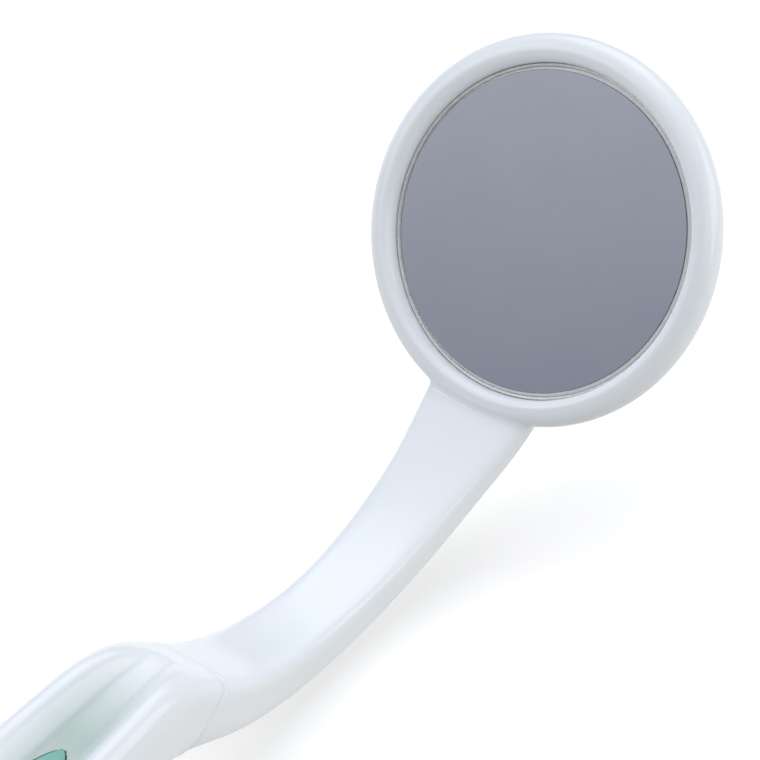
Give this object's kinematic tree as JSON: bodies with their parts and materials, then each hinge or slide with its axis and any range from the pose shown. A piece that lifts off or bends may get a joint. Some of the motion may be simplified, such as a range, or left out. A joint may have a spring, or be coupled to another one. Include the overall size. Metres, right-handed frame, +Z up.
{
  "type": "mouth mirror",
  "caption": "Dental mouth mirror: round front-silvered glass in a beaded cup on a bent flat neck, held in a sculpted white grip with a soft teal thumb insert.",
  "frame": {"origin": "centre of the bounding box in X and Y, on the grip's flat underside", "axes": "+X along the handle towards the mirror head, +Z up from the flat underside on the side that the mirror faces, Y across the width"},
  "size_m": [0.165, 0.0266, 0.0298],
  "materials": {
    "white_plastic": "glossy moulded plastic, cool bluish white",
    "teal_rubber": "satin soft-touch elastomer, mint teal",
    "clear_glass": "clear flat glass with a ground edge",
    "silver": "silvery reflecting coat on the front of the glass",
    "adhesive": "thin translucent adhesive bed, pressed up round the glass"
  },
  "bodies": {
    "root": {"head_and_neck": "white_plastic", "grip": "white_plastic", "thumb_insert": "teal_rubber", "mirror_glass": "clear_glass", "silver_coat": "silver", "adhesive_bed": "adhesive"}
  },
  "joints": []
}
